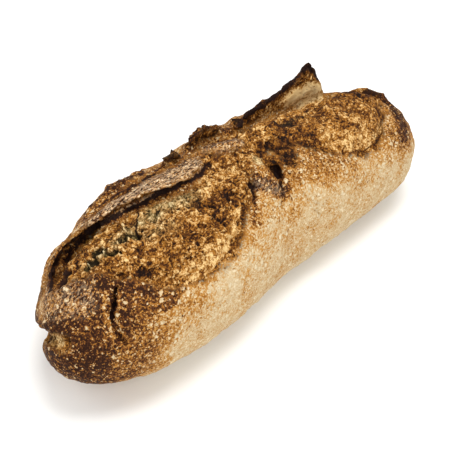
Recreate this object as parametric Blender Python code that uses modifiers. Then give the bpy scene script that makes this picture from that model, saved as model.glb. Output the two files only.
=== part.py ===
"""A crusty hand-shaped loaf with two long slashes, modelled as one closed solid.

The loaf lies along X on its flat underside, with the rounded end that is baked darkest at -X.
The front is -Y and +Z is up. Sizes are in millimetres, and MM turns them into Blender's metres.
The origin is on the flat underside, under the middle of the loaf's length.
"""

import math

import bmesh
import bpy
import numpy as np
from mathutils import Vector, noise

MM = 0.001

# The plain loaf: its length, then width and height at five stations from one end to the other.
LENGTH = 298.0
STATIONS = (-1.0, -0.5, 0.0, 0.5, 1.0)
WIDTHS = (109.0, 109.0, 101.0, 99.0, 99.0)
HEIGHTS = (89.0, 89.0, 85.0, 81.0, 81.0)
BOW = 14.0  # how far the middle bends towards the back
BLUNTNESS = (2.9, 3.9)  # of the near and the far end: higher is blunter
ROUNDNESS = 2.2  # of the cross-section: 2 is an ellipse, higher is squarer
WIDEST_AT = 0.42  # share of the height at which the section is widest
SAG = 5.0  # depth below the table that is cut away to leave the flat underside

# Mesh detail. The sculpted surface is fine, and the finished solid is thinned to the target.
RINGS = 260
RING_POINTS = 210
VOXEL = 1.5
TARGET_TRIANGLES = 11300

# Unevenness of the hand-shaped crust and of the torn crumb: (size of a lump, its height).
LUMPS = ((46.0, 1.4), (17.0, 0.8))
CRAGS = ((11.0, 2.6), (6.0, 1.4))

# Each opening runs along X between a back edge and a front edge, seen from above as (x, y). Its
# section is (share of the way from front edge to back edge, height over the crust), and "deepen"
# is the share of the section's depth that it has along X, because it gapes more at one end.
OPENINGS = {
    "near_opening": {
        "back": ((-134, 17), (-126, 26), (-116, 34), (-106, 35), (-83, 30), (-57, 20), (-35, 14), (-10, 10),
                 (3, 2)),
        "front": ((-134, 16), (-126, 11), (-117, 3), (-109, -8), (-98, -22), (-82, -31), (-62, -33),
                  (-40, -30), (-20, -20), (3, 0)),
        "section": ((-0.1, 0), (0.0, -2.2), (0.1, 0.4), (0.4, 1.2), (0.68, -1.5), (0.88, -7.5), (1.0, -8.5),
                    (1.1, -3), (1.3, 0)),
        "deepen": ((-134, 1.0), (-118, 1.5), (-104, 1.1), (-88, 0.6), (-55, 0.3), (-35, 0.15), (-15, 0.1)),
    },
    "far_opening": {
        "back": ((-14, 33), (5, 34), (30, 36), (60, 40), (95, 39), (115, 30), (128, 16), (134, 6)),
        "front": ((-14, 27), (0, 20), (14, 4), (31, -3), (46, -16), (62, -24), (80, -29), (99, -25),
                  (112, -16), (124, -4), (134, 5)),
        "section": ((-0.1, 0), (0.0, -2.4), (0.1, 0.8), (0.35, 3.0), (0.56, 1.5), (0.74, -7), (0.9, -12),
                    (1.05, -8), (1.2, 0)),
        "deepen": ((-14, 0.3), (30, 0.9), (60, 1.0), (134, 1.0)),
    },
}
UNDERCUT_BELOW = -2.0  # the part of a section that "deepen" acts on

# Ears are flaps of crust beside the openings. Hinge and edge run from the near to the far end of
# the flap as (x, y, height over the crust), and the flap is thinner at its edge than at its hinge.
EARS = {
    "long_ear": {
        "hinge": ((-128, 33, -2), (-112, 42, -1), (-92, 39, 0), (-62, 36, 0), (-42, 32, -2), (-19, 26, -2)),
        "edge": ((-132, 20, 0), (-116, 32, 1), (-96, 25, 3), (-68, 16, 4), (-42, 8, 3), (-17, 15, 2)),
        "thickness": (5.0, 2.8),
        "curl": 1.6,
    },
    "tall_ear": {
        "hinge": ((26, 41, -4), (45, 44, -6), (66, 45, -8), (88, 45, -10), (104, 42, -10), (119, 36, -10)),
        "edge": ((30, 36, 1), (50, 37, 3), (70, 38, 6), (88, 38, 12), (101, 37, 22), (112, 37, 13)),
        "thickness": (7.0, 3.4),
        "curl": 2.5,
    },
    "middle_ear": {
        "hinge": ((-17, 40, -4), (-4, 42, -4), (8, 42, -4), (22, 41, -3)),
        "edge": ((-16, 34, 2), (-7, 34, 7), (5, 35, 8), (21, 38, 0)),
        "thickness": (6.0, 3.2),
        "curl": 1.0,
    },
    "small_curl": {
        "hinge": ((-34, 38, -2), (-27, 37, -2), (-20, 36, -2)),
        "edge": ((-33, 33, 1), (-27, 32, 4), (-21, 31, 3)),
        "thickness": (4.0, 3.0),
        "curl": 0.8,
    },
    "bridge_ear": {
        "hinge": ((-15, 27, -2), (-3, 28, -2), (8, 27, -2), (17, 24, -2)),
        "edge": ((-14, 19, 1), (-4, 14, 3), (6, 10, 3), (15, 14, 1)),
        "thickness": (5.0, 2.4),
        "curl": 0.8,
    },
    "end_ear": {
        "hinge": ((120, 20, -3), (128, 13, -3), (134, 3, -4), (136, -8, -5)),
        "edge": ((119, 14, 0), (128, 8, 3), (134, 0, 4), (135, -9, 1)),
        "thickness": (5.0, 2.4),
        "curl": 0.4,
    },
}
EAR_STEPS = (60, 12)  # divisions of a flap: along it, and from hinge to edge
RAGGED = (9.0, 3.0)  # of an ear's edge: size of a tooth, and how far it reaches

# Cracks and creases of the crust: a line on the surface, half its width at both ends, and its depth
# at the first end. The depth lessens with the width.
CRACKS = {
    "side_crack": {
        "line": ((-110, -8, 74), (-116, -13, 69), (-122, -17, 66), (-125, -22, 60), (-125, -27, 55),
                 (-123, -31, 50)),
        "width": (4.4, 2.4),
        "depth": 7.5,
    },
    "end_cleft": {
        "line": ((-126, 42, 18), (-136, 31, 27), (-141, 22, 36), (-145, 12, 45), (-146, 3, 50),
                 (-144, -5, 52)),
        "width": (8.0, 3.5),
        "depth": 9.0,
    },
    "bridge_crease": {
        "line": ((-5, -4, 84), (-9, -12, 81), (-14, -19, 77), (-18, -26, 72)),
        "width": (4.0, 2.0),
        "depth": 5.0,
    },
    "waist_crease": {
        "line": ((10, -15, 78), (7, -20, 74), (2, -27, 69), (-3, -33, 62)),
        "width": (3.6, 1.6),
        "depth": 4.5,
    },
    "far_crease": {
        "line": ((15, -14, 78), (17, -25, 71), (20, -32, 62), (24, -37, 52)),
        "width": (3.6, 1.6),
        "depth": 4.0,
    },
}

# Dents and swellings: place on the surface, radius, and height, below zero for a dent.
SPOTS = {
    "waist_pit": ((12, -11, 79), 8.0, -9.5),
    "pit_slope": ((17, 0, 83), 15.0, -3.5),
    "bridge_top": ((3, -12, 81), 9.0, 2.0),
    "back_shoulder": ((-66, 42, 78), 34.0, 4.0),
    "waist_side": ((8, -38, 45), 34.0, -2.5),
    "under_cleft": ((-147, 18, 40), 20.0, -3.0),
    "near_top": ((-134, 30, 60), 30.0, -1.5),
    "far_top": ((134, 8, 66), 26.0, -3.0),
    "far_side": ((128, -34, 26), 34.0, 2.0),
    "behind_curl": ((-24, 37, 80), 26.0, -5.0),
    "behind_long_ear": ((-44, 36, 80), 18.0, -2.5),
    "beside_tall_ear": ((25, 42, 76), 12.0, -4.0),
    "near_shoulder": ((-122, 38, 62), 24.0, -4.5),
    "far_shoulder": ((122, 14, 70), 22.0, -4.0),
}


def smooth_step(low, high, value):
    """0 below low, 1 above high and a smooth rise between them."""
    share = np.clip((value - low) / (high - low), 0.0, 1.0)
    return share * share * (3 - 2 * share)


def curve_through(stations, values, at):
    """A smooth curve through the values, which stays flat past both ends."""
    stations = np.asarray(stations, float)
    values = np.asarray(values, float)
    slopes = np.gradient(values, stations)
    at = np.clip(at, stations[0], stations[-1])
    i = np.clip(np.searchsorted(stations, at) - 1, 0, len(stations) - 2)
    span = stations[i + 1] - stations[i]
    s = (at - stations[i]) / span
    return (
        (2 * s**3 - 3 * s**2 + 1) * values[i]
        + (s**3 - 2 * s**2 + s) * span * slopes[i]
        + (3 * s**2 - 2 * s**3) * values[i + 1]
        + (s**3 - s**2) * span * slopes[i + 1]
    )


def section_sizes(x):
    """Of the plain loaf's section at x: half width, rise over its centre, and the centre's y and z."""
    t = np.clip(np.asarray(x, float) / (LENGTH / 2), -1.0, 1.0)
    width = np.polyval(np.polyfit(STATIONS, WIDTHS, 4), t)
    height = np.polyval(np.polyfit(STATIONS, HEIGHTS, 4), t)
    taper = np.sqrt(1 - np.abs(t) ** np.where(t < 0, *BLUNTNESS))
    centre_z = WIDEST_AT * height
    return width / 2 * taper, (height - centre_z) * taper, BOW * (1 - t * t), centre_z, taper


def crust_height(x, y):
    """Height of the plain loaf's top over the point (x, y)."""
    half_width, rise, centre_y, centre_z, _ = section_sizes(x)
    across = np.clip(np.abs(y - centre_y) / np.maximum(half_width, 1e-6), 0.0, 1.0)
    return centre_z + rise * (1 - across**ROUNDNESS) ** (1 / ROUNDNESS)


def plain_loaf(directions):
    """Moves points of a unit sphere, whose poles lie along Z, onto the plain loaf along X."""
    x = LENGTH / 2 * directions[:, 2]
    half_width, rise, centre_y, centre_z, taper = section_sizes(x)
    angle = np.arctan2(directions[:, 1], directions[:, 0])
    power = 2 / ROUNDNESS
    across = np.sign(np.cos(angle)) * np.abs(np.cos(angle)) ** power
    up = np.sign(np.sin(angle)) * np.abs(np.sin(angle)) ** power
    drop = (centre_z + SAG) * taper
    z = centre_z + np.where(up > 0, rise, drop) * up
    return np.stack([x, centre_y + half_width * across, z], axis=1)


def distance_along(points, line):
    """Distance of each point from a line of straight stretches, and its share of the way along it."""
    line = np.asarray(line, float)
    nearest = np.full(len(points), np.inf)
    share = np.zeros(len(points))
    for i, (start, end) in enumerate(zip(line[:-1], line[1:])):
        run = end - start
        s = np.clip((points - start) @ run / (run @ run), 0.0, 1.0)
        distance = np.linalg.norm(points - start - s[:, None] * run, axis=1)
        closer = distance < nearest
        nearest = np.where(closer, distance, nearest)
        share = np.where(closer, (i + s) / (len(line) - 1), share)
    return nearest, share


def lumps(points, size):
    """Smooth random heights between about -1 and 1, with lumps of the size given."""
    return np.array([noise.noise(Vector(place) / size) for place in points])


def opening_relief(points, back, front, section, deepen):
    """Height over the crust inside an opening between two edges, with the crags of its torn crumb."""
    x, y, z = points.T
    back_y = curve_through(*np.transpose(back), x)
    front_y = curve_through(*np.transpose(front), x)
    gap = np.maximum(back_y - front_y, 1.0)
    share = (y - front_y) / gap
    inside = smooth_step(1.0, 22.0, gap) * smooth_step(30.0, 46.0, z)
    height = curve_through(*np.transpose(section), share)
    undercut = np.minimum(height - UNDERCUT_BELOW, 0.0)
    height += undercut * (curve_through(*np.transpose(deepen), x) - 1)
    torn = smooth_step(0.0, 0.15, share) * smooth_step(1.15, 1.0, share)
    crags = sum(rise * lumps(points, size) for size, rise in CRAGS)
    return (height + crags * torn) * inside


def relief(points):
    """Height of the sculpted loaf over the plain one, at each point."""
    height = sum(opening_relief(points, **opening) for opening in OPENINGS.values())
    for crack in CRACKS.values():
        distance, share = distance_along(points, crack["line"])
        half_width = crack["width"][0] + (crack["width"][1] - crack["width"][0]) * share
        height -= crack["depth"] * half_width / crack["width"][0] * smooth_step(half_width, 0.0, distance)
    for place, radius, rise in SPOTS.values():
        distance = np.linalg.norm(points - np.array(place), axis=1)
        height += rise * smooth_step(radius, 0.0, distance)
    return height + sum(rise * lumps(points, size) for size, rise in LUMPS)


def loaf_body():
    """The loaf without its ears: a sphere drawn out to the plain loaf, with its relief pushed in."""
    mesh = bpy.data.meshes.new("loaf")
    ball = bmesh.new()
    bmesh.ops.create_uvsphere(ball, u_segments=RING_POINTS, v_segments=RINGS, radius=1.0)
    ball.to_mesh(mesh)
    ball.free()
    points = np.empty(len(mesh.vertices) * 3)
    mesh.vertices.foreach_get("co", points)
    points = plain_loaf(points.reshape(-1, 3))
    mesh.vertices.foreach_set("co", points.ravel())
    mesh.update()
    face_outwards(mesh)
    normals = np.empty(len(mesh.vertices) * 3, np.float32)
    mesh.vertex_normals.foreach_get("vector", normals)
    points += relief(points)[:, None] * normals.reshape(-1, 3)
    mesh.vertices.foreach_set("co", (points * MM).ravel())
    mesh.update()
    return bpy.data.objects.new("loaf", mesh)


def face_outwards(mesh):
    """Turns the faces of a closed mesh outwards."""
    shape = bmesh.new()
    shape.from_mesh(mesh)
    bmesh.ops.recalc_face_normals(shape, faces=shape.faces)
    shape.to_mesh(mesh)
    shape.free()


def points_on(stations, shares):
    """Points over the crust along a smooth curve, where stations hold (x, y, height over the crust)."""
    even = np.linspace(0.0, 1.0, len(stations))
    x, y, lift = (curve_through(even, column, shares) for column in np.transpose(stations))
    return np.stack([x, y, crust_height(x, y) + lift], axis=1)


def ear(name, hinge, edge, thickness, curl):
    """A flap of crust: a divided cube drawn out between its hinge and its free edge."""
    mesh = bpy.data.meshes.new(name)
    block = bmesh.new()
    bmesh.ops.create_grid(block, x_segments=EAR_STEPS[0], y_segments=EAR_STEPS[1], size=0.5)
    floor = block.faces[:]
    raised = bmesh.ops.extrude_face_region(block, geom=floor)
    for vertex in (v for v in raised["geom"] if isinstance(v, bmesh.types.BMVert)):
        vertex.co.z = 1.0
    corners = np.array([v.co for v in block.verts])
    along = corners[:, 0] + 0.5
    out = corners[:, 1] + 0.5
    side = 2 * corners[:, 2] - 1
    start, end = points_on(hinge, along), points_on(edge, along)
    run = points_on(edge, np.clip(along + 0.02, 0, 1)) - points_on(edge, np.clip(along - 0.02, 0, 1))
    facing = np.cross(run, end - start)
    facing /= np.linalg.norm(facing, axis=1, keepdims=True)
    thin_ends = smooth_step(-0.02, 0.12, along) * smooth_step(1.02, 0.88, along)
    thick = (thickness[0] + (thickness[1] - thickness[0]) * out) * (0.35 + 0.65 * thin_ends)
    tooth, reach = RAGGED
    reach_out = out * (1 + reach * lumps(end, tooth) / np.linalg.norm(end - start, axis=1))
    middle = start + (end - start) * reach_out[:, None]
    middle += facing * (curl * np.sin(math.pi * out))[:, None]
    placed = middle + facing * (side * thick / 2)[:, None]
    for vertex, place in zip(block.verts, placed):
        vertex.co = place * MM
    bmesh.ops.recalc_face_normals(block, faces=block.faces)
    block.to_mesh(mesh)
    block.free()
    return bpy.data.objects.new(name, mesh)


def apply_modifier(target, name, kind, **settings):
    """Adds a modifier to the object and applies it."""
    modifier = target.modifiers.new(name, kind)
    for setting, value in settings.items():
        setattr(modifier, setting, value)
    with bpy.context.temp_override(object=target, active_object=target):
        bpy.ops.object.modifier_apply(modifier=modifier.name)


def join_ears(body, ears):
    """Joins the ears to the body with one Boolean union, and removes their own objects."""
    collection = bpy.data.collections.new("ears")
    bpy.context.scene.collection.children.link(collection)
    for flap in ears:
        collection.objects.link(flap)
    union = {"operation": "UNION", "operand_type": "COLLECTION", "collection": collection, "solver": "EXACT"}
    apply_modifier(body, "join ears", "BOOLEAN", **union)
    for flap in ears:
        bpy.data.objects.remove(flap)
    bpy.data.collections.remove(collection)


def keep_outer_skin(body):
    """Fills hollows sealed between an ear and the crust: only the skin with the most points stays."""
    shape = bmesh.new()
    shape.from_mesh(body.data)
    unseen = set(shape.verts)
    skins = []
    while unseen:
        skin = {unseen.pop()}
        front = list(skin)
        while front:
            vertex = front.pop()
            for other in (edge.other_vert(vertex) for edge in vertex.link_edges):
                if other in unseen:
                    unseen.remove(other)
                    skin.add(other)
                    front.append(other)
        skins.append(skin)
    skins.sort(key=len)
    for skin in skins[:-1]:
        bmesh.ops.delete(shape, geom=list(skin), context="VERTS")
    shape.to_mesh(body.data)
    shape.free()


def blend_and_thin(body):
    """Blends the ears into the crust, then leaves as many triangles as the form needs."""
    apply_modifier(body, "blend", "REMESH", mode="VOXEL", voxel_size=VOXEL * MM)
    keep_outer_skin(body)
    apply_modifier(body, "soften", "SMOOTH", factor=0.5, iterations=2)
    share = TARGET_TRIANGLES / (2 * len(body.data.polygons))
    apply_modifier(body, "thin", "DECIMATE", decimate_type="COLLAPSE", ratio=share)


def cut_flat_underside(body):
    """Cuts the loaf off level with the table and closes the cut with one flat face."""
    shape = bmesh.new()
    shape.from_mesh(body.data)
    everything = shape.verts[:] + shape.edges[:] + shape.faces[:]
    table = {"plane_co": (0, 0, 0), "plane_no": (0, 0, -1)}
    cut = bmesh.ops.bisect_plane(shape, geom=everything, clear_outer=True, **table)
    rim = [part for part in cut["geom_cut"] if isinstance(part, bmesh.types.BMEdge)]
    bmesh.ops.holes_fill(shape, edges=rim)
    bmesh.ops.recalc_face_normals(shape, faces=shape.faces)
    shape.to_mesh(body.data)
    shape.free()


def crust_material():
    """Baked crust: dull golden brown."""
    material = bpy.data.materials.new("baked crust")
    material.use_nodes = True
    surface = material.node_tree.nodes["Principled BSDF"]
    surface.inputs["Base Color"].default_value = (0.42, 0.22, 0.08, 1.0)
    surface.inputs["Roughness"].default_value = 0.75
    surface.inputs["Metallic"].default_value = 0.0
    return material


def main():
    for thing in list(bpy.data.objects):
        bpy.data.objects.remove(thing)
    collection = bpy.data.collections.new("loaf of bread")
    bpy.context.scene.collection.children.link(collection)
    body = loaf_body()
    collection.objects.link(body)
    join_ears(body, [ear(name, **shape) for name, shape in EARS.items()])
    blend_and_thin(body)
    cut_flat_underside(body)
    body.data.materials.append(crust_material())
    body.data.shade_smooth()


main()
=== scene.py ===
# %% [markdown]
# # A crusty loaf with torn slashes
#
# This lesson dresses a loaf of bread. The solid loaf comes from its own file and is never changed:
# it says where everything is. Here a finer skin is laid over it, torn and baked, and given its
# crust, crumb and flour. Lengths are in millimetres unless a name says otherwise.

import bpy
import numpy as np
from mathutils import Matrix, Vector, noise
from mathutils.bvhtree import BVHTree


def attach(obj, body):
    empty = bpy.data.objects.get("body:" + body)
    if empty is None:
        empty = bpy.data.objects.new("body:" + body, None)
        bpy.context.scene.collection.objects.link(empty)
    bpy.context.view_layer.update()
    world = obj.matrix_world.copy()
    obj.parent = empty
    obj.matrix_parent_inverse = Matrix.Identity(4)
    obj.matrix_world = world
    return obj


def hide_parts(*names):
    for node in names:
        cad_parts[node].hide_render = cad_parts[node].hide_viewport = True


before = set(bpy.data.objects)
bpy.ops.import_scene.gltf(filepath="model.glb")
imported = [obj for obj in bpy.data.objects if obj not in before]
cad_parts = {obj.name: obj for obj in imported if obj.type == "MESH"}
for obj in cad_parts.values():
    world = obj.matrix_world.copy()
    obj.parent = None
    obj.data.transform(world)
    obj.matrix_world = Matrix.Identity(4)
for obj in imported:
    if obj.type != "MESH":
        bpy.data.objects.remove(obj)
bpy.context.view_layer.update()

MM = 0.001

# %% [markdown]
# ## The camera
#
# It looks down on the loaf at 40 degrees with a long lens, so that the near end is only a little
# larger than the far end. It comes first, because many small features are told by the pixel of
# the photograph that they lie behind, and the line of sight through it finds the place.

# %% Camera
PHOTO_SIZE = (450, 470)
CAMERA_AIM = (-13.5, 4.7, 35.0)
CAMERA_BEARING = -48.0  # degrees round from the loaf's front
CAMERA_HEIGHT = 40.0  # degrees above the table
CAMERA_AWAY = 620.0
PIXELS_PER_MM = 1.707

bearing, height = np.radians((CAMERA_BEARING, CAMERA_HEIGHT))
to_camera = np.array([np.sin(bearing) * np.cos(height), -np.cos(bearing) * np.cos(height), np.sin(height)])
to_right = np.array([np.cos(bearing), np.sin(bearing), 0.0])
to_top = np.cross(to_camera, to_right)
eye = np.array(CAMERA_AIM) + CAMERA_AWAY * to_camera

lens = bpy.data.cameras.new("camera")
lens.sensor_width = 36.0
lens.lens = 36.0 * CAMERA_AWAY * PIXELS_PER_MM / max(PHOTO_SIZE)
camera = bpy.data.objects.new("camera", lens)
camera.location = eye * MM
camera.rotation_euler = Vector(-to_camera).to_track_quat("-Z", "Y").to_euler()
bpy.context.scene.collection.objects.link(camera)
bpy.context.scene.camera = camera
print("camera at", eye.round(1), "lens in mm", round(lens.lens, 1))

# %% [markdown]
# ## Small helpers
#
# Every cell below moves or paints the points of one mesh. So the helpers read all its points at
# once as a table, one row each, and work on the whole table.


# %% Steps and curves
def smooth_step(low, high, value):
    """0 at low, 1 at high, a smooth change between them and flat outside."""
    share = np.clip((value - low) / (high - low), 0.0, 1.0)
    return share * share * (3 - 2 * share)


def curve_through(stations, at):
    """A smooth curve through stations of (place, value), which stays flat past both ends."""
    places, values = np.transpose(np.asarray(stations, float))
    slopes = np.gradient(values, places)
    at = np.clip(at, places[0], places[-1])
    i = np.clip(np.searchsorted(places, at) - 1, 0, len(places) - 2)
    span = places[i + 1] - places[i]
    s = (at - places[i]) / span
    return (
        (2 * s**3 - 3 * s**2 + 1) * values[i]
        + (s**3 - 2 * s**2 + s) * span * slopes[i]
        + (3 * s**2 - 2 * s**3) * values[i + 1]
        + (s**3 - s**2) * span * slopes[i + 1]
    )


# %% Random lumps and holes
def lumps(points, size, seed):
    """Smooth random values between about -1 and 1, with lumps of the size given."""
    shift = np.array([17.3, 5.1, 9.7]) * seed
    return np.array([noise.noise(place) for place in points / size + shift]) * 1.6


def holes(points, size, chance, seed):
    """Scattered round holes: 1 in the middle of one and 0 outside. The chance is of a cell to hold one."""
    depth = np.zeros(len(points))
    for i, place in enumerate(points / size + 3.7 * seed):
        distances, centres = noise.voronoi(place)
        pick = noise.cell(centres[0] * 31.7)
        if pick < chance:
            depth[i] = 1 - distances[0] / (0.28 + 0.22 * pick / chance)
    return smooth_step(0.0, 0.8, depth)


# %% Reading and writing a mesh as a table of points
def table_of(mesh):
    """The points of a mesh in millimetres, one row each."""
    values = np.empty(len(mesh.vertices) * 3, np.float32)
    mesh.vertices.foreach_get("co", values)
    return values.reshape(-1, 3).astype(float) / MM


def normals_of(mesh):
    """The outward direction at each point of a mesh."""
    values = np.empty(len(mesh.vertices) * 3, np.float32)
    mesh.vertex_normals.foreach_get("vector", values)
    return values.reshape(-1, 3).astype(float)


def move_points(mesh, points):
    """Puts the points of a mesh, in millimetres, where the table says."""
    mesh.vertices.foreach_set("co", (points * MM).astype(np.float32).ravel())
    mesh.update()


def paint(mesh, name, values):
    """Stores a value between 0 and 1 at each point, for the material to read by name."""
    layer = mesh.attributes.new(name, "FLOAT", "POINT")
    values = np.clip(values, 0.0, 1.0)
    layer.data.foreach_set("value", values.astype(np.float32))
    print(f"painted {name}: mean {values.mean():.3f}")


def averaged(mesh, values, rounds):
    """Values at the points of a mesh, each averaged with its neighbours, several times over."""
    pairs = np.empty(len(mesh.edges) * 2, np.int32)
    mesh.edges.foreach_get("vertices", pairs)
    a, b = pairs.reshape(-1, 2).T
    count = len(mesh.vertices)
    links = np.bincount(a, minlength=count) + np.bincount(b, minlength=count)
    values = np.array(values, float)
    for _ in range(rounds):
        for column in values.T if values.ndim > 1 else [values]:
            around = np.bincount(a, column[b], count) + np.bincount(b, column[a], count)
            column[:] = 0.5 * column + 0.5 * around / links
    return values


def apply_modifier(target, kind, **settings):
    """Adds a modifier to an object and applies it at once."""
    bpy.ops.object.select_all(action="DESELECT")
    bpy.context.view_layer.objects.active = target
    modifier = target.modifiers.new(kind.lower(), kind)
    for setting, value in settings.items():
        setattr(modifier, setting, value)
    bpy.ops.object.modifier_apply(modifier=modifier.name)


# %% [markdown]
# ## A finer skin
#
# The solid has some eleven thousand triangles, which is right for weight and contact but too few
# for crumb. A copy of it is merged, because its triangles come loose, and wrapped in small even
# squares by a voxel Remesh. Smoothing then takes out the solid's flat facets. The alternative is
# to sculpt by hand on a multiresolution mesh, but brush strokes can't be rerun from a script.

# %% Wrap the loaf in a fine skin
SKIN_MESH = 1.54  # keeps the finished skin under 200,000 triangles

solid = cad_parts["loaf"]
skin = bpy.data.objects.new("loaf_skin", solid.data.copy())
bpy.context.scene.collection.objects.link(skin)
bpy.ops.object.select_all(action="DESELECT")
skin.select_set(True)
bpy.context.view_layer.objects.active = skin
bpy.ops.object.mode_set(mode="EDIT")
bpy.ops.mesh.select_all(action="SELECT")
bpy.ops.mesh.remove_doubles(threshold=0.01 * MM)
bpy.ops.object.mode_set(mode="OBJECT")
apply_modifier(skin, "REMESH", mode="VOXEL", voxel_size=SKIN_MESH * MM)
apply_modifier(skin, "SMOOTH", factor=0.5, iterations=3)
print("faces in the skin:", len(skin.data.polygons))

# %% [markdown]
# ## Finding a place by its pixel
#
# A stroke below is a line of photograph pixels with a radius in millimetres, as if a brush of that
# size were drawn over the loaf. Each pixel is thrown along its line of sight onto the skin, so a
# stroke lies in space and looks right from every side.

# %% Strokes on the loaf
bare_loaf = BVHTree.FromObject(skin, bpy.context.evaluated_depsgraph_get())


def on_loaf(pixel):
    """The place on the bare loaf that lies behind a pixel of the photograph."""
    across = (pixel[0] - PHOTO_SIZE[0] / 2) / PIXELS_PER_MM
    down = (pixel[1] - PHOTO_SIZE[1] / 2) / PIXELS_PER_MM
    sight = across * to_right - down * to_top - CAMERA_AWAY * to_camera
    hit = bare_loaf.ray_cast(Vector(eye * MM), Vector(sight).normalized())[0]
    if hit is None:
        passed = [bare_loaf.find_nearest(Vector((eye + sight * s) * MM)) for s in np.linspace(0.8, 1.2, 41)]
        hit = min(passed, key=lambda near: near[3])[0]
    return np.array(hit) / MM


def distance_to(line, points):
    """Distance of each point from a line of straight stretches, or from a single place."""
    line = np.asarray(line, float)
    nearest = np.linalg.norm(points - line[0], axis=1)
    for start, end in zip(line[:-1], line[1:]):
        run = end - start
        share = np.clip((points - start) @ run / max(run @ run, 1e-6), 0.0, 1.0)
        nearest = np.minimum(nearest, np.linalg.norm(points - start - share[:, None] * run, axis=1))
    return nearest


def strokes(table, points, edge=0.35, reach=1.0):
    """The strongest of a table's strokes at each point. Each is (pixels, radius, strength).

    A reach above 1 makes the brush that much longer along the line of sight, so that a stroke
    also covers the deeper side of an edge that it follows.
    """
    squash = 1 - 1 / reach
    strongest = np.zeros(len(points))
    flat = points - squash * np.outer(points @ to_camera, to_camera)
    for pixels, radius, strength in table.values():
        line = [on_loaf(pixel) for pixel in pixels]
        line = [place - squash * (place @ to_camera) * to_camera for place in line]
        value = strength * smooth_step(1.0, edge, distance_to(line, flat) / radius)
        strongest = np.where(np.abs(value) > np.abs(strongest), value, strongest)
    return strongest


# %% [markdown]
# ## Where the slashes are
#
# A baker cuts the dough with a blade, and in the oven the cut gapes and tears. Each opening lies
# between a front edge and the free edge of the ear behind it, both seen from above. What lies
# under the overhanging ear is torn too. The edges repeat those of the solid.

# %% The two openings
OPENINGS = {
    "near": {
        "front": ((-134, 16), (-126, 11), (-117, 3), (-109, -8), (-98, -22), (-82, -31), (-62, -33),
                  (-40, -30), (-20, -20), (3, 0)),
        "ear": ((-134, 17), (-128, 24), (-116, 31), (-96, 25), (-68, 16), (-42, 8), (-17, 14), (3, 3)),
        "hinge": ((-134, 18), (-112, 42), (-92, 40), (-62, 37), (-42, 33), (-19, 27), (3, 5)),
        "turned": (-0.05, -0.35),
    },
    "far": {
        "front": ((-14, 27), (0, 20), (14, 4), (31, -3), (46, -16), (62, -24), (80, -29), (99, -25),
                  (112, -16), (124, -4), (134, 5)),
        "ear": ((-16, 33), (5, 34), (21, 37), (50, 36), (70, 37), (88, 37), (112, 36), (120, 28), (128, 16),
                (134, 6)),
        "hinge": ((-16, 39), (5, 42), (45, 44), (88, 45), (104, 43), (119, 34), (128, 17), (134, 7)),
        "turned": (0.25, -0.15),
    },
}

ALSO_TORN = {
    "bridge between the slashes": (((214, 164), (234, 158), (252, 150), (266, 138)), 9.0, 1.0),
    "waist funnel": (((258, 158), (270, 166)), 8.0, 1.0),
    "right of the pit": (((284, 146), (290, 158)), 7.0, 1.0),
    "in the cleft": (((46, 336), (56, 341), (64, 343)), 5.0, 1.0),
}
CRUST_FLAPS = {
    "small flap": (((208, 148), (222, 146), (237, 142)), 5.6, 1.0),
}


def sheltered(points, out):
    """1 where the loaf itself hangs over a point, within three centimetres."""
    over = np.zeros(len(points))
    for i in np.nonzero(points[:, 2] > 45)[0]:
        start = Vector((points[i] + 0.8 * out[i]) * MM)
        over[i] = bare_loaf.ray_cast(start, Vector((0, 0, 1)), 30 * MM)[0] is not None
    return over


def torn_share(points, out, over):
    """1 where crumb shows and 0 on crust, with a ragged border."""
    rough = points + 1.5 * np.stack([lumps(points, 5.0, 3), lumps(points, 4.0, 4), 0 * points[:, 0]], axis=1)
    x, y, z = rough.T
    torn = np.zeros(len(points))
    for edges in OPENINGS.values():
        front = curve_through(edges["front"], x)
        ear = curve_through(edges["ear"], x)
        hinge = curve_through(edges["hinge"], x) + 3
        turned = smooth_step(*edges["turned"], out[:, 2]) * smooth_step(0.2, -0.2, out[:, 1])
        inner_face = np.maximum(over * smooth_step(0.1, -0.1, out[:, 2]), turned)
        back = ear - 2.0 + (hinge - ear + 2.0) * inner_face
        inside = smooth_step(-1.2, 1.2, y - front) * smooth_step(1.0, -1.0, y - back)
        torn = np.maximum(torn, inside * smooth_step(1.0, 5.0, back - front) * smooth_step(44.0, 54.0, z))
    torn = np.maximum(torn, strokes(ALSO_TORN, rough, 0.8))
    return torn * (1 - strokes(CRUST_FLAPS, rough, 0.8) * smooth_step(0.1, 0.3, out[:, 2]))


# %% [markdown]
# ## More points where the crumb is torn
#
# Torn crumb has detail of a millimetre, and the smooth crust has none so small. Subdividing only
# the torn faces, the ears and the cracks gives detail where it shows, and keeps the mesh light.

# %% Subdivide the torn part of the skin
FINE_STROKES = {
    "long ear": (((52, 280), (70, 232), (100, 212), (140, 190), (195, 160)), 12.0, 1.0),
    "side slit": (((116, 288), (114, 318), (127, 345)), 6.0, 1.0),
    "cleft": (((48, 330), (70, 343)), 7.0, 1.0),
    "waist": (((250, 180), (272, 170), (300, 185)), 12.0, 1.0),
    "small flap": (((205, 146), (240, 141)), 8.0, 1.0),
    "tall ear": (((240, 118), (275, 95), (310, 68), (318, 90)), 9.0, 1.0),
    "middle ear": (((190, 140), (225, 128)), 8.0, 1.0),
    "pits of the side": (((290, 184), (318, 213)), 4.0, 1.0),
}

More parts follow.
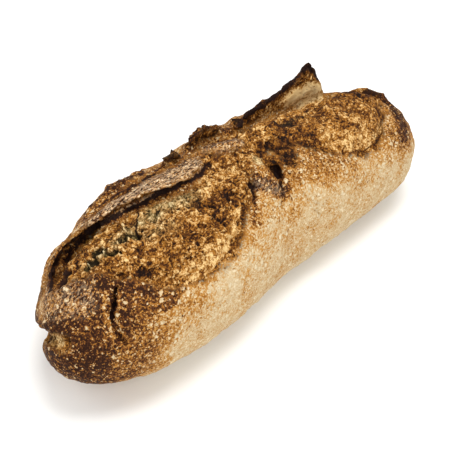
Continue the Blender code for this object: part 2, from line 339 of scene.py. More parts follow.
points = table_of(skin.data)
out = normals_of(skin.data)
wanted = np.maximum(torn_share(points, out, sheltered(points, out)), strokes(FINE_STROKES, points)) > 0.35
first_corner = np.empty(len(skin.data.polygons), np.int32)
skin.data.polygons.foreach_get("loop_start", first_corner)
corner_points = np.empty(len(skin.data.loops), np.int32)
skin.data.loops.foreach_get("vertex_index", corner_points)
bpy.ops.object.mode_set(mode="EDIT")
bpy.ops.mesh.select_mode(type="FACE")
bpy.ops.mesh.select_all(action="DESELECT")
bpy.ops.object.mode_set(mode="OBJECT")
skin.data.polygons.foreach_set("select", wanted[corner_points[first_corner]])
bpy.ops.object.mode_set(mode="EDIT")
bpy.ops.mesh.subdivide(number_cuts=1, smoothness=0.0)
bpy.ops.object.mode_set(mode="OBJECT")
skin.data.calc_loop_triangles()
print("triangles after subdividing:", len(skin.data.loop_triangles))

# %% [markdown]
# ## Relief of the crust and the crumb
#
# Points are pushed along their normals. Crust gets shallow lumps and small blisters. Torn crumb gets
# higher lumps and scattered holes where bubbles burst. A Displace modifier with a texture could do
# that too, but the largest bubbles, pits, cracks, lips and dips have places of their own, so each
# of those is a stroke, and its strength is how many millimetres it pushes out or in.

# %% Holes, cracks, lips and dips, by their place in the photograph
BUBBLES = {
    "first": (((86, 266), (91, 259)), 4.3, -5.0),
    "second": (((93, 251), (100, 248)), 3.6, -4.4),
    "third": (((105, 251), (114, 249)), 3.2, -4.0),
    "fourth": (((121, 250),), 2.2, -2.8),
    "fifth": (((119, 237), (127, 235), (136, 233)), 3.9, -4.8),
    "sixth": (((130, 226),), 2.0, -2.6),
    "seventh": (((143, 226),), 2.8, -2.8),
    "eighth": (((153, 218), (158, 208)), 2.6, -2.6),
    "ninth": (((174, 206), (180, 206)), 1.8, -2.2),
    "tenth": (((148, 236), (152, 232)), 1.6, -1.8),
    "eleventh": (((187, 204),), 1.4, -1.8),
    "ear pore": (((269, 117),), 2.0, -2.6),
}
PITS = {
    "mouth": (((61, 282), (65, 272)), 4.0, -4.5),
    "mouth, upper": (((66, 261), (72, 252)), 2.0, -1.8),
    "mouth, top": (((81, 241), (89, 236)), 2.0, -2.4),
    "dark patch": (((200, 203), (213, 206)), 2.4, -1.8),
    "right patch": (((228, 194), (238, 192)), 2.4, -1.6),
    "bottom of the waist pit": (((275, 169), (279, 176)), 3.6, -3.0),
    "above the waist pit": (((272, 150), (284, 147)), 2.6, -1.6),
    "right of the waist pit": (((286, 153), (289, 162)), 2.2, -1.6),
    "left of the waist pit": (((266, 147), (270, 141)), 2.0, -1.4),
}
CRACKS = {
    "side slit": (((116, 288), (115, 300), (112, 312), (113, 322)), 1.4, -4.5),
    "side slit, lower": (((113, 325), (118, 336), (127, 345)), 1.0, -1.6),
    "pull line": (((208, 207), (217, 216), (227, 228)), 1.2, -1.3),
    "second pull line": (((229, 197), (229, 209)), 1.0, -1.0),
    "thin crack": (((237, 157), (243, 164), (249, 171)), 1.1, -1.6),
    "bridge crease": (((247, 174), (251, 182), (253, 191), (255, 202)), 1.7, -2.6),
    "waist crease": (((281, 181), (283, 192), (283, 207)), 1.3, -2.2),
    "far crease": (((287, 170), (294, 177), (301, 184)), 1.2, -1.5),
    "side pits": (((289, 182), (291, 187)), 1.2, -1.6),
    "side pits, middle": (((305, 194), (309, 200)), 1.1, -1.5),
    "side pits, lower": (((314, 202), (317, 205)), 1.0, -1.4),
    "side pits, last": (((316, 210), (319, 215)), 0.9, -1.2),
    "far rim": (((290, 143), (305, 150), (334, 153), (364, 152), (379, 141), (385, 118)), 1.3, -1.2),
    "front rim": (((212, 270), (224, 260), (233, 249), (239, 236)), 1.2, -0.6),
    "flap underline": (((204, 154), (221, 154), (239, 150)), 1.2, -1.2),
    "cleft line": (((47, 331), (57, 335), (70, 342)), 1.2, -1.2),
    "behind the tongue": (((108, 205), (120, 196), (135, 186), (152, 175), (163, 166), (175, 158)),
                          1.4, -1.6),
}
LIPS = {
    "slit lip": (((120, 290), (119, 308), (117, 316), (121, 327), (126, 338)), 1.5, 0.8),
    "near rim": (((52, 296), (65, 286), (80, 279), (102, 277), (126, 279), (150, 286)), 3.2, 1.0),
    "tongue": (((92, 219), (122, 199), (152, 182), (180, 170), (194, 161)), 5.5, 1.0),
    "small flap": (((210, 148), (224, 145), (237, 141)), 7.0, 1.0),
    "bulge beside the tall ear": (((288, 120), (296, 112), (305, 108), (314, 103)), 9.0, -3.4),
    "small curl": (((167, 160), (172, 156), (177, 156)), 1.7, 4.0),
    "near lobe edge": (((40, 322), (50, 327), (66, 336)), 3.4, 0.9),
    "pit rim": (((266, 179), (276, 181), (279, 187)), 1.5, 0.9),
    "far ridge": (((370, 94), (380, 97), (386, 108)), 3.0, 1.0),
    "thread over the first bubble": (((85, 258), (92, 268)), 0.9, 3.0),
    "thread over the second bubble": (((102, 240), (103, 252)), 0.9, 2.8),
    "thread over the fifth bubble": (((124, 228), (129, 240)), 0.9, 3.0),
    "bump behind the tongue": (((133, 171), (137, 170)), 2.2, 1.2),
    "second bump": (((151, 168), (154, 167)), 2.0, 1.2),
}
DIPS = {
    "behind the tongue, near end": (((62, 236), (73, 221), (84, 204), (96, 191)), 8.0, -3.6),
    "behind the tongue": (((112, 179), (124, 174), (136, 170)), 7.0, -1.6),
    "behind the end of the tongue": (((150, 165), (158, 160), (166, 155)), 8.0, -5.0),
    "before the middle ear": (((176, 151), (183, 147)), 6.5, -4.4),
    "beside the middle ear": (((228, 122), (238, 120)), 6.5, -4.0),
}
CRAGGY_CRUST = {
    "behind the tongue": (((90, 202), (112, 187), (135, 175), (158, 166)), 8.5, 1.8),
    "middle ear": (((188, 145), (205, 131), (222, 129)), 7.0, 1.8),
    "tall ear's rim": (((236, 123), (274, 96), (304, 68)), 3.5, 0.7),
    "far ridge": (((366, 92), (382, 98), (396, 116)), 5.0, 1.2),
    "mouth": (((50, 296), (56, 262), (70, 240)), 4.5, 0.9),
    "near lobe edge": (((40, 320), (52, 331), (68, 340)), 4.0, 0.9),
}
SMOOTHER_CRUMB = {
    "face of the tall ear": (((284, 112), (296, 100), (308, 92), (318, 92)), 10.0, 1.0),
    "waist funnel": (((257, 158), (264, 168)), 6.0, 1.0),
    "golden band of the front rim": (((196, 275), (212, 263), (226, 248), (234, 228), (238, 212)), 5.0, 0.7),
    "golden middle of the bulge": (((300, 128), (338, 126), (358, 132), (374, 122)), 13.0, 0.5),
}

# %% How rough crust and crumb are
# Lumps are (size, height, seed), and holes are (size of a cell, its chance of a hole, depth, seed).
CRUMB_LUMPS = ((9.0, 0.7, 1), (4.0, 0.4, 2), (2.1, 0.16, 13))
CRUMB_HOLES = ((5.0, 0.14, 1.2, 1), (2.8, 0.2, 0.6, 2))
CRUST_LUMPS = ((12.0, 0.3, 8), (3.4, 0.22, 9))
CRUST_BLISTERS = ((4.6, 0.5, 0.35, 3),)
CRAGGY_LUMPS = ((3.6, 0.6, 20), (2.2, 0.4, 21))


def uneven(points, layers):
    """Lumps of several sizes added up."""
    return sum(rise * lumps(points, size, seed) for size, rise, seed in layers)


def pocked(points, layers):
    """Holes, or blisters, of several sizes added up."""
    return sum(depth * holes(points, size, chance, seed) for size, chance, depth, seed in layers)


def jittered(points, far, size, seeds):
    """The points moved about at random, so that a stroke which is drawn with them has a ragged edge."""
    return points + far * np.stack([lumps(points, size, seed) for seed in seeds], axis=1)


# %% Push the crust and the crumb into shape
SMOOTHER_BULGE = 0.45  # share of the crags that is taken off the swollen crumb of the far opening
SMOOTHER_STROKES = 0.7  # and the share that is taken off under the strokes of SMOOTHER_CRUMB

points = table_of(skin.data)
out = normals_of(skin.data)
over = sheltered(points, out)
torn = averaged(skin.data, torn_share(points, out, over), 3)
warped = jittered(points, 0.9, 4.5, (5, 6, 7))
ragged = jittered(points, 0.8, 2.4, (17, 18, 19))
swollen = smooth_step(22.0, 40.0, points[:, 0]) * smooth_step(28.0, 18.0, points[:, 1])
crags = uneven(points, CRUMB_LUMPS) - pocked(warped, CRUMB_HOLES)
crags *= 1 - SMOOTHER_BULGE * swollen
crags *= 1 - SMOOTHER_STROKES * strokes(SMOOTHER_CRUMB, warped, 0.3)
blisters = pocked(warped, CRUST_BLISTERS) + uneven(points, CRUST_LUMPS)
blisters += strokes(CRAGGY_CRUST, warped, 0.4, reach=3.0) * uneven(points, CRAGGY_LUMPS)
bubble_depth = -strokes(BUBBLES, ragged, 0.3)
pit_depth = -strokes(PITS, ragged, 0.2)
crack_depth = -strokes(CRACKS, ragged, 0.1)
relief = torn * crags + (1 - torn) * blisters + strokes(DIPS, points, 0.2, reach=3.0)
relief += strokes(LIPS, ragged) - bubble_depth - pit_depth - crack_depth
moved = points + out * relief[:, None]
moved[:, 2] = np.maximum(moved[:, 2], 0.0)
move_points(skin.data, moved)
print("lowest and highest push:", relief.min().round(2), relief.max().round(2))

# %% [markdown]
# ## Painting where the oven worked
#
# Bread has one skin but many colours, and each has a cause. High thin edges burn, low sides stay
# pale, torn hollows keep the colour of dough, and flour stays where a cloth touched the dough.
# Shade and light are painted in as well: hollows, bubbles, cracks, pits and what lies under an ear
# are painted darker as shade, and ridges, the lowest crust and the face of the tall ear are painted
# lighter as light. So the finish is painted as named values at each point, and the material turns
# them into colours.

# %% Painted shade in hollows and painted light on ridges, at two scales
# A point that stands out from the average of its neighbours is a ridge, and one behind it a hollow.
# The crumb is painted lighter on ridges and darker in hollows and in bubbles: painted light and shade.
rough_points = table_of(skin.data)
rough_out = normals_of(skin.data)
coarse_gap = ((rough_points - averaged(skin.data, rough_points, 30)) * rough_out).sum(axis=1)
fine_gap = ((rough_points - averaged(skin.data, rough_points, 3)) * rough_out).sum(axis=1)
bubble_shade = smooth_step(1.2, 3.6, bubble_depth)
paint(skin.data, "ridge", 0.48 + 0.4 * fine_gap - 0.4 * bubble_shade)
paint(skin.data, "raised", 0.5 + 0.22 * coarse_gap)
paint(skin.data, "torn", torn)

# %% [markdown]
# ## How far the crust is baked
#
# The near end is darkest, the low flank is pale, and between them the crust is golden, because the
# heat reached them unequally. The lowest band is also painted lighter, as painted light against the
# shade near the floor. A picture laid on the mesh could hold that, but a value worked out
# from each point's place needs no file and no unwrapping.

# %% The crust's bake, from pale sides to the dark end
# 0 is pale dough and 1 nearly black. Each pair is a place along the loaf and the height up to which
# the flank is pale there.
PALE_UP_TO = ((-150, 5), (-130, 22), (-115, 30), (-100, 48), (-85, 57), (-70, 64), (-40, 67), (0, 72),
              (20, 70), (40, 63), (65, 61), (80, 59), (95, 55), (110, 51), (130, 48), (150, 44))
PALE_BAKE = 0.26
MORE_ABOVE_FLANK = 0.3
MORE_AT_NEAR_END = 0.3
MORE_ON_TOP = 0.12
MORE_AT_BACK = 0.1
# painted light: the crust is painted lighter near the floor, against the shade there
PAINTED_LIGHT_LOW_DOWN = 0.12
BAKE_DRIFT = ((26.0, 0.06, 11), (9.0, 0.06, 12))
DARKER = {
    "end, low": (((56, 350), (66, 362), (84, 370)), 20.0, 0.5),
    "below the cleft": (((58, 349), (66, 351), (75, 356)), 7.0, 0.6),
    "slit side": (((124, 300), (124, 318)), 8.0, 0.2),
    # Painted light: the slit's left slope is lighter where light falls on it.
    "painted light on the slit's left slope": (((105, 292), (105, 308), (108, 322), (114, 337)), 3.2, -0.3),
    "slit lip": (((120, 292), (118, 308), (117, 316), (121, 328), (128, 343)), 1.2, -0.4),
    "behind the tongue": (((88, 203), (112, 186), (138, 174), (156, 167)), 9.0, 0.5),
    "outer rim of the mouth": (((41, 312), (43, 288), (48, 265), (58, 247), (73, 227)), 9.0, -0.4),
    "near lobe": (((50, 308), (60, 305), (72, 304)), 11.0, -0.2),
    "far shoulder": (((392, 104), (401, 118), (405, 134)), 13.0, 0.46),
    "golden low front": (((110, 372), (138, 346), (165, 318), (188, 294)), 12.0, -0.13),
    "below the waist flank": (((262, 206), (275, 212), (290, 212)), 9.0, 0.1),
    "waist flank": (((256, 184), (268, 187), (282, 192)), 8.0, 0.72),
    "tongue": (((88, 222), (120, 201), (150, 185), (178, 172), (194, 164)), 9.0, 0.5),
    "small flap": (((210, 147), (224, 143), (236, 140)), 6.0, 0.7),
    "beside the tongue": (((205, 156), (222, 140)), 6.0, 0.3),
    "rim of the near opening": (((70, 284), (100, 283), (128, 288), (155, 294), (180, 288)), 8.0, 0.24),
    "above the slit": (((66, 297), (95, 301), (140, 306), (176, 302)), 9.0, 0.17),
    "rim of the near opening, far side": (((180, 285), (212, 275), (232, 256), (242, 236), (245, 212)),
                                          5.0, 0.1),
    # Painted shade: the crust is darker along the creases.
    "painted shade in the creases": (((247, 176), (253, 200), (256, 222)), 6.0, 0.3),
}

x, y, z = points.T
above_pale = z - curve_through(PALE_UP_TO, x) + 5 * lumps(points, 20.0, 24)
bake = PALE_BAKE + MORE_ABOVE_FLANK * smooth_step(-17.0, 17.0, above_pale) + uneven(points, BAKE_DRIFT)
bake += MORE_AT_NEAR_END * smooth_step(-92.0, -128.0, x)
bake += MORE_ON_TOP * smooth_step(70.0, 90.0, z) + MORE_AT_BACK * smooth_step(15.0, 45.0, y)
bake += strokes(DARKER, warped, 0.0) - PAINTED_LIGHT_LOW_DOWN * smooth_step(24.0, 4.0, z)
paint(skin.data, "bake", bake)

# %% Crumb: pale near the ears, toasted at its edges, with some painted shade and light
# A toasted stroke above 0 is browner and one below 0 more golden than the rest of the crumb. Some
# strokes are painted shade and light instead, as marked.
PALE_CRUMB = {
    "round the first bubbles": (((84, 266), (97, 253), (112, 249)), 6.0, 0.6),
    "round the fifth bubble": (((116, 240), (128, 230), (140, 222)), 8.0, 0.9),
    "middle": (((150, 213), (168, 204), (188, 196)), 11.0, 0.95),
    "below the middle": (((150, 234), (170, 222)), 9.0, 0.5),
    # Painted shade: olive crumb at the foot of the tall ear.
    "shade at the foot of the tall ear": (((284, 120), (300, 113)), 4.0, 0.5),
    "face of the tall ear": (((296, 98), (308, 90), (316, 92)), 8.0, 0.35),
    "lower face of the tall ear": (((284, 113), (296, 106), (310, 100), (320, 96)), 5.0, 0.5),
    "waist funnel": (((257, 158), (264, 168)), 6.0, 1.2),
    "cleft": (((50, 338), (60, 341)), 6.0, 0.6),
    "right end of the bulge": (((374, 138), (380, 128)), 4.0, 0.4),
}
CRUMB_TOAST_SHADE_AND_LIGHT = {
    "dark patch": (((199, 203), (214, 206), (222, 220)), 7.5, 0.75),
    "right patch": (((230, 195), (238, 205)), 6.5, 0.65),
    "lower middle": (((185, 228), (205, 232)), 11.0, 0.45),
    # Painted shade: the crumb under the ear.
    "ear's shade": (((78, 243), (100, 229), (125, 216), (150, 202), (178, 190)), 3.6, 0.35),
    "front rim": (((225, 258), (234, 246), (239, 236)), 2.0, 0.15),
    "golden front": (((180, 272), (205, 262), (222, 240)), 10.0, -0.7),
    "golden middle of the bulge": (((332, 138), (352, 142), (370, 140)), 9.0, -0.8),
    "inside the far ridge": (((376, 108), (387, 116), (390, 124)), 5.5, 0.7),
    "upper left of the bulge": (((288, 131), (302, 134), (312, 134)), 6.0, 0.9),
    "by the near rim": (((80, 275), (110, 269), (134, 270)), 6.0, 0.1),
    "by the near rim, right part": (((140, 272), (168, 274)), 6.5, 0.6),
    "beside the pit": (((270, 150), (284, 147), (292, 155), (286, 163)), 7.0, 0.85),
    "left of the bulge": (((286, 142), (298, 147), (308, 150)), 8.0, 1.3),
    # Painted shade: darker crumb at the foot of the tall ear.
    "shade at the foot of the tall ear": (((278, 123), (290, 117), (300, 112)), 5.0, 1.4),
    "top of the bulge": (((338, 95), (352, 92), (366, 96)), 8.0, 0.7),
    "face of the tall ear": (((258, 121), (272, 112), (286, 102)), 4.5, -0.6),
    # Painted light: the golden crumb of the tall ear's face is painted lighter for the light falling on it.
    "painted light on the face of the tall ear": (((290, 101), (304, 92), (318, 88)), 8.0, -3.2),
    "lower face of the tall ear": (((296, 106), (310, 100), (320, 96)), 6.0, -1.8),
    "golden crumb": (((206, 188), (218, 175), (230, 160)), 9.0, -0.8),
    "cleft": (((48, 336), (60, 342)), 5.0, -0.8),
    "funnel": (((256, 158), (262, 168)), 6.0, -1.5),
    "golden band of the front rim": (((196, 275), (212, 263), (226, 248), (234, 228), (238, 212)), 4.6, -1.5),
    "middle ear": (((192, 145), (205, 137), (224, 134)), 7.0, 0.5),
    "pull line": (((208, 207), (217, 216), (227, 228)), 1.8, 1.0),
    "above the pit": (((262, 150), (276, 146), (288, 142)), 6.0, 0.5),
}

MOTTLE = ((5.0, 1.0, 22), (2.2, 0.6, 23))
mottle = smooth_step(-0.5, 0.4, uneven(points, MOTTLE))
browned = 0.25 * smooth_step(0.1, 0.7, lumps(points, 7.0, 16))
pale = strokes(PALE_CRUMB, warped, 0.0) * (0.45 + 0.55 * mottle)
# In bubbles the crumb takes the olive pale ramp at a low ridge value, which is painted shade.
paint(skin.data, "pale", np.maximum(pale * torn, bubble_shade))
toast_shade_and_light = strokes(CRUMB_TOAST_SHADE_AND_LIGHT, warped, 0.0) + browned * torn
paint(skin.data, "toast_shade_and_light", 0.5 + 0.19 * toast_shade_and_light)

# %% Burnt edges, painted shade and flour
# Thin edges, cracks and what lies under an ear are darkest: the edges are burnt, and the dark of the
# cracks, the mouth, the waist pit and under an ear is painted shade, with some burning under the ear.
# Flour stays on crust that doesn't face down.
BURNT_AND_SHADED = {
    # Painted shade: the deep mouth at the near end.
    "mouth": (((60, 283), (64, 272), (58, 262)), 4.4, 0.9),
    "mouth, upper": (((67, 260), (72, 248), (82, 239)), 2.6, 0.9),
    "tall ear's rim": (((236, 123), (254, 110), (274, 96), (292, 82), (304, 68)), 4.1, 1.0),
    "tall ear's tip": (((304, 67), (312, 66), (318, 76)), 5.5, 0.85),
    "middle ear's rim": (((188, 142), (196, 133), (207, 127), (222, 128), (229, 131)), 4.0, 0.62),
    "small curl": (((167, 160), (173, 155), (179, 154)), 2.6, 0.8),
    "far ridge": (((366, 92), (378, 94), (388, 104), (397, 117)), 3.6, 0.75),
    # Painted shadow: the waist pit.
    "waist pit": (((276, 168), (278, 172), (280, 177)), 4.2, 1.0),
    "above the pit": (((268, 147), (280, 143), (289, 150), (288, 163), (278, 160)), 6.5, 0.26),
}
# Painted shadow under the overhanging tongue and in the crevice behind it, with some burning under it.
SHADOW_LINES = {
    "under the tongue, near end": (((50, 294), (52, 271), (57, 257), (66, 247), (79, 236)), 1.3, 1.0),
    "under the tongue": (((79, 237), (98, 226), (118, 215), (139, 205), (160, 193), (178, 186)), 1.9, 1.0),
    "behind the tongue": (((96, 208), (118, 194), (142, 181), (164, 166), (182, 157)), 0.9, 0.8),
    "under the tongue, far end": (((178, 184), (190, 181), (200, 174), (206, 164)), 1.4, 1.0),
    "thread under the ear": (((138, 203), (137, 219), (135, 230)), 0.8, 0.9),
}
FLOUR = {
    "tongue, near end": (((80, 230), (100, 216), (120, 205), (142, 194)), 5.5, 0.9),
    "tongue": (((142, 192), (165, 180), (186, 171), (198, 163)), 7.0, 0.8),
    "small flap": (((208, 148), (224, 145), (239, 141)), 7.0, 0.4),
    "near lobe": (((48, 305), (62, 300), (80, 299)), 12.0, 0.45),
    "waist flank": (((260, 186), (270, 188), (278, 190)), 6.0, 0.38),
}

# Painted shade: what faces down under the near ear, and the deeper cracks, with some burning under the ear.
under = smooth_step(0.0, -0.5, out[:, 2]) * smooth_step(58.0, 66.0, z) * smooth_step(20.0, 5.0, x)
crack_shade = smooth_step(0.7, 2.2, crack_depth)
shadow_lines = strokes(SHADOW_LINES, ragged, 0.5, reach=4.0)
burnt_edges_and_shaded_holes = strokes(BURNT_AND_SHADED, ragged, 0.2)
shade_under_ear = 0.56 * under * np.maximum(over, 0.6)
paint(skin.data, "burnt_and_shade", np.max([burnt_edges_and_shaded_holes, shadow_lines, shade_under_ear, crack_shade], axis=0))
not_facing_down = smooth_step(-0.6, -0.2, out[:, 2])
floury = strokes(FLOUR, ragged, 0.4, reach=3.0) * (1 - torn) * not_facing_down
paint(skin.data, "floury", floury)

# %% [markdown]
# ## The material: crust and crumb
#
# Crust is starch baked to a dull brown shell, with flour and bran on it, so it scatters light and
# hardly shines. Crumb is the same dough torn open, rough and golden where the oven reached it.
# One material covers both, because on the loaf one runs into the other, and its painted values say
# where it is what. Sizes are real: bran flecks of one to three millimetres, and a grain of a little
# under one, which is as fine as the view shows.


# %% A colour and a node
def colour(code):
    """A colour from its sRGB hex code, turned linear for Blender."""
    parts = [int(code[i:i + 2], 16) / 255 for i in (1, 3, 5)]
    linear = [p / 12.92 if p <= 0.04045 else ((p + 0.055) / 1.055) ** 2.4 for p in parts]
    return (*linear, 1.0)


loaf_finish = bpy.data.materials.new("baked crust and torn crumb")
loaf_finish.use_nodes = True
tree = loaf_finish.node_tree
surface = tree.nodes["Principled BSDF"]


def add(kind, inputs, output=0, stops=(), **settings):
    """Adds a node of the finish, with its settings and links, and gives the output asked for.

    An input takes a value or another node's output. Stops are places and colours of a ramp.
    """
    node = tree.nodes.new("ShaderNode" + kind)
    for name, value in settings.items():
        setattr(node, name, value)
    for i, (place, code) in enumerate(stops):
        band = node.color_ramp.elements
        stop = band[i] if i < len(band) else band.new(1.0)
        stop.position = place
        stop.color = colour(code)
    for name, value in inputs.items():
        if isinstance(value, bpy.types.NodeSocket):
            tree.links.new(value, node.inputs[name])
        else:
            node.inputs[name].default_value = value
    return node.outputs[output]


def per_mm(size):
    """Scale of a pattern on Object coordinates, which are metres, for lumps of a size."""
    return 1 / (size * MM)


# %% What was painted, and the grain
# Grit gives every small cell a lightness of its own, like flour and crumbs. Noise alone looks wormy.
# Places are bent first, by (size of a bend, how far) in mm, so that no cell has straight sides.
values = {
    name: add("Attribute", {}, "Fac", attribute_name=name)
    for name in ("torn", "bake", "ridge", "raised", "pale", "toast_shade_and_light", "burnt_and_shade", "floury")
}
place = add("TexCoord", {}, "Object")
BENDS = {"a little": (1.4, 0.9), "a lot": (2.2, 3.0)}
bent = {}
for name, (size, far) in BENDS.items():
    push = add("TexNoise", {"Vector": place, "Scale": per_mm(size), "Detail": 2.0}, "Color")
    push = add("VectorMath", {0: push, "Scale": far * MM}, operation="SCALE")
    bent[name] = add("VectorMath", {0: place, 1: push}, operation="ADD")
grit = {}
for size in (0.8, 1.7):
    cell = add("TexVoronoi", {"Vector": bent["a little"], "Scale": per_mm(size)}, "Color")
    grit[size] = add("SeparateColor", {"Color": cell}, "Red")
    grit[size] = add("Math", {0: grit[size], 1: 0.5}, operation="SUBTRACT")
spread = {"From Min": 0.32, "From Max": 0.68, "To Min": -0.5, "To Max": 0.5}
soft = {}
for size in (1.2, 4.0, 11.0):
    wave = add("TexNoise", {"Vector": place, "Scale": per_mm(size), "Detail": 2.0, "Roughness": 0.6})
    soft[size] = add("MapRange", {"Value": wave, **spread})

# %% [markdown]
# ## Speckles of the crust
#
# A baked crust has dry flour, flakes of bran and burst pores on it. They could be tiny meshes, but
# they are thousands and a millimetre or two wide. So they are spots of a cell pattern:
# a Voronoi texture gives each cell a centre and a random number. The number says whether the cell
# holds a fleck and how large it is, and the distance from the centre draws it.

# %% Bran, flour and pores: flecks scattered over the crust
# Each row is the size of a cell in mm, the share of cells left empty, the fleck's radius as a share
# of the cell, and how far it shifts the bake: flakes are paler than what they lie on, pores darker.
# The whole variation grows with the bake, because well baked crust is the roughest.
FLECKS = {
    "pores": (2.1, 0.45, 0.32, 0.4),
    "flour dust": (1.3, 0.1, 0.5, -0.22),
    "small flakes": (2.3, 0.5, 0.46, -0.3),
    "bran flakes": (3.6, 0.55, 0.44, -0.37),
}
PALEST_SHIFT = -0.46  # where several flecks overlap
varied = add("Math", {0: soft[11.0], 1: 0.1}, operation="MULTIPLY")
for part, share in ((soft[1.2], 0.12), (soft[4.0], 0.12), (grit[0.8], 0.42), (grit[1.7], 0.16)):
    varied = add("Math", {0: part, 1: share, 2: varied}, operation="MULTIPLY_ADD")
dots = {}
for name, (size, empty, radius, shift) in FLECKS.items():
    cell = add("TexVoronoi", {"Vector": bent["a lot"], "Scale": per_mm(size)}, "Distance")
    pick = add("SeparateColor", {"Color": cell.node.outputs["Color"]}, "Green")
    reach = add("MapRange", {"Value": pick, "From Min": empty, "From Max": 1.0, "To Max": radius})
    dot = add("Math", {0: reach, 1: cell}, operation="SUBTRACT")
    dots[name] = add("MapRange", {"Value": dot, "From Min": -0.02, "From Max": 0.1})
    varied = add("Math", {0: dots[name], 1: shift, 2: varied}, operation="MULTIPLY_ADD")
varied = add("Math", {0: varied, 1: PALEST_SHIFT}, operation="MAXIMUM")
strength = add("Math", {0: values["bake"], 1: 1.6, 2: 0.2}, operation="MULTIPLY_ADD")
tone = add("Math", {0: varied, 1: strength, 2: values["bake"]}, operation="MULTIPLY_ADD")

# %% Flour rubbed on, in streaks along the loaf
# Flour, burning and painted shade first shift the tone, which keeps the warm colours of crust. Their own
# colours are mixed in further down.
FLOUR_LIGHTENS = -0.42
BURNING_AND_SHADE_DARKEN = 0.4
stretched = add("VectorMath", {0: place, 1: (0.35, 1.0, 1.0)}, operation="MULTIPLY")
streaks = add("TexNoise", {"Vector": stretched, "Scale": per_mm(1.2), "Detail": 3.0, "Roughness": 0.7})
streaks = add("MapRange", {"Value": streaks, "From Min": 0.46, "From Max": 0.55})
flour = add("Math", {0: streaks, 1: values["floury"]}, operation="MULTIPLY")
tone = add("Math", {0: flour, 1: FLOUR_LIGHTENS, 2: tone}, operation="MULTIPLY_ADD")
tone = add("Math", {0: values["burnt_and_shade"], 1: BURNING_AND_SHADE_DARKEN, 2: tone}, operation="MULTIPLY_ADD")

# %% Crust colours, from dry flour through dough to dark brown
LIGHTEST = -0.25
crust_stops = (
    (-0.25, "#F0E4CC"), (0.00, "#DAC8A4"), (0.20, "#C4AC86"), (0.30, "#BE9C6C"), (0.40, "#B4823E"),
    (0.50, "#9E6828"), (0.66, "#6E411A"), (0.82, "#4C2A12"), (1.00, "#2C1508"),
)
crust_stops = [((bake_at - LIGHTEST) / (1 - LIGHTEST), code) for bake_at, code in crust_stops]
tone = add("MapRange", {"Value": tone, "From Min": LIGHTEST, "From Max": 1.0})
crust = add("ValToRGB", {"Fac": tone}, stops=crust_stops)
flour = add("Math", {0: flour, 1: 0.5}, operation="MULTIPLY")
crust = add("Mix", {0: flour, 6: crust, 7: colour("#E2C49E")}, 2, data_type="RGBA")

# %% Crumb colours, from burnt hollows with painted shade to golden ridges with painted light
crumb_grain = ((soft[1.2], 0.14), (soft[4.0], 0.28), (soft[11.0], 0.3), (grit[0.8], 0.5), (grit[1.7], 0.3))
tone = add("Math", {0: values["burnt_and_shade"], 1: -0.3, 2: values["ridge"]}, operation="MULTIPLY_ADD")
for part, share in crumb_grain:
    tone = add("Math", {0: part, 1: share, 2: tone}, operation="MULTIPLY_ADD")
# The broad relief lightens rises and darkens broad hollows: painted light and shade.
lift = add("MapRange", {"Value": values["raised"], "To Min": -0.5, "To Max": 0.5})
tone = add("Math", {0: lift, 1: 0.5, 2: tone}, operation="MULTIPLY_ADD")
toast_shade_and_light_shift = add("MapRange", {"Value": values["toast_shade_and_light"], "To Min": 0.8, "To Max": -0.8})
tone = add("Math", {0: toast_shade_and_light_shift, 1: tone}, operation="ADD")
tone = add("Math", {0: dots["pores"], 1: -0.22, 2: tone}, operation="MULTIPLY_ADD")
crumb_stops = ((0.05, "#1A0C05"), (0.28, "#48260B"), (0.46, "#744614"), (0.66, "#A6702C"), (1.00, "#E4C084"))
# The dark olive end of the pale ramp is painted shade, in bubbles and at the foot of the tall ear.
pale_stops = ((0.05, "#241C0C"), (0.28, "#574824"), (0.48, "#877146"), (0.68, "#AA9162"), (1.00, "#E4D0A2"))
crumb = add("ValToRGB", {"Fac": tone}, stops=crumb_stops)
pale_crumb = add("ValToRGB", {"Fac": tone}, stops=pale_stops)
crumb = add("Mix", {0: values["pale"], 6: crumb, 7: pale_crumb}, 2, data_type="RGBA")
pits = add("Math", {0: dots["pores"], 1: 0.3}, operation="MULTIPLY")
crumb = add("Mix", {0: pits, 6: crumb, 7: colour("#3A220E")}, 2, data_type="RGBA")

# %% Crust and crumb together, and what is burnt and painted in shade
loaf_colour = add("Mix", {0: values["torn"], 6: crust, 7: crumb}, 2, data_type="RGBA")
# The near-black mix is burnt crust and painted shade in cracks, pits and under the ears.
burnt_and_shade = add("Math", {0: soft[4.0], 1: 0.3, 2: values["burnt_and_shade"]}, operation="MULTIPLY_ADD")
burnt_and_shade = add("Math", {0: grit[0.8], 1: 0.5, 2: burnt_and_shade}, operation="MULTIPLY_ADD")
burnt_and_shade = add("MapRange", {"Value": burnt_and_shade, "From Min": 0.45, "From Max": 0.8, "To Max": 0.94})
loaf_colour = add("Mix", {0: burnt_and_shade, 6: loaf_colour, 7: colour("#1E0E09")}, 2, data_type="RGBA")
tree.links.new(loaf_colour, surface.inputs["Base Color"])

# %% Shine and the finest relief
# Baked starch is dull, with an index of refraction near 1.45.
surface.inputs["Roughness"].default_value = 0.7
surface.inputs["IOR"].default_value = 1.45
surface.inputs["Specular IOR Level"].default_value = 0.12
fine_relief = add("Math", {0: dots["bran flakes"], 1: 0.8, 2: grit[0.8]}, operation="MULTIPLY_ADD")
fine_relief = add("Math", {0: dots["pores"], 1: -0.8, 2: fine_relief}, operation="MULTIPLY_ADD")
fine_relief = add("Math", {0: soft[1.2], 1: 0.4, 2: fine_relief}, operation="MULTIPLY_ADD")
bump = add("Bump", {"Height": fine_relief, "Strength": 1.0, "Distance": 0.5 * MM})
tree.links.new(bump, surface.inputs["Normal"])

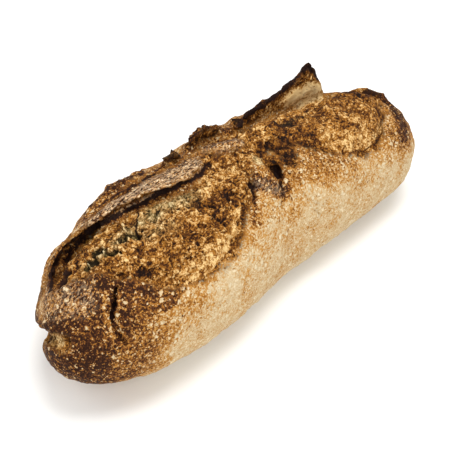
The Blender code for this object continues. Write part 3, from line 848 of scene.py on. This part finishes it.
# %% [markdown]
# ## The skin takes the solid's place
#
# The solid stays for weight and contact and is hidden. The skin moves with the same body and stands
# for the solid. Its faces are shaded smooth, so that their borders don't show.

# %% Dress the loaf in its skin
skin.data.materials.clear()
skin.data.materials.append(loaf_finish)
skin.data.shade_smooth()
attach(skin, "root")
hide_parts("loaf")
print("nodes in the finish:", len(tree.nodes))

# %% [markdown]
# ## The studio
#
# The loaf lies on plain white, lit softly from above, with light coming back from all round. A
# large panel overhead lights the tops, one in front fills the side, a weak one behind lifts the
# back, and the pale floor throws light up under the loaf. One small lamp would be simpler, but its
# hard shadows would hide the crumb.

# %% Floor
# Matt paper scatters light evenly, so no lamp is mirrored in it.
bpy.ops.object.select_all(action="DESELECT")
bpy.ops.mesh.primitive_plane_add(size=6.0, location=(0, 0, 0))
floor = bpy.context.active_object
floor.name = "floor"
paper = bpy.data.materials.new("matt white paper")
paper.use_nodes = True
paper.node_tree.nodes["Principled BSDF"].inputs["Base Color"].default_value = colour("#F6F6F4")
paper.node_tree.nodes["Principled BSDF"].inputs["Roughness"].default_value = 0.9
floor.data.materials.append(paper)


# %% Lights
def soft_panel(name, place, aim, size, watts):
    """A square light panel at a place, turned towards what it lights, all in metres."""
    lamp = bpy.data.lights.new(name, "AREA")
    lamp.size = size
    lamp.energy = watts
    panel = bpy.data.objects.new(name, lamp)
    panel.location = place
    panel.rotation_euler = (Vector(aim) - Vector(place)).to_track_quat("-Z", "Y").to_euler()
    bpy.context.scene.collection.objects.link(panel)


soft_panel("overhead panel", (0.1, -0.1, 1.1), (0, 0, 0.05), 0.6, 8.5)
soft_panel("front panel", (-0.5, -0.9, 0.7), (0, 0, 0.04), 0.8, 6)
soft_panel("back panel", (-0.6, 0.7, 0.8), (0, 0, 0.04), 0.8, 3)
world = bpy.data.worlds.new("white room")
world.use_nodes = True
world.node_tree.nodes["Background"].inputs["Color"].default_value = (1.0, 1.0, 1.0, 1.0)
world.node_tree.nodes["Background"].inputs["Strength"].default_value = 0.7
bpy.context.scene.world = world
bpy.context.scene.view_settings.view_transform = "Standard"
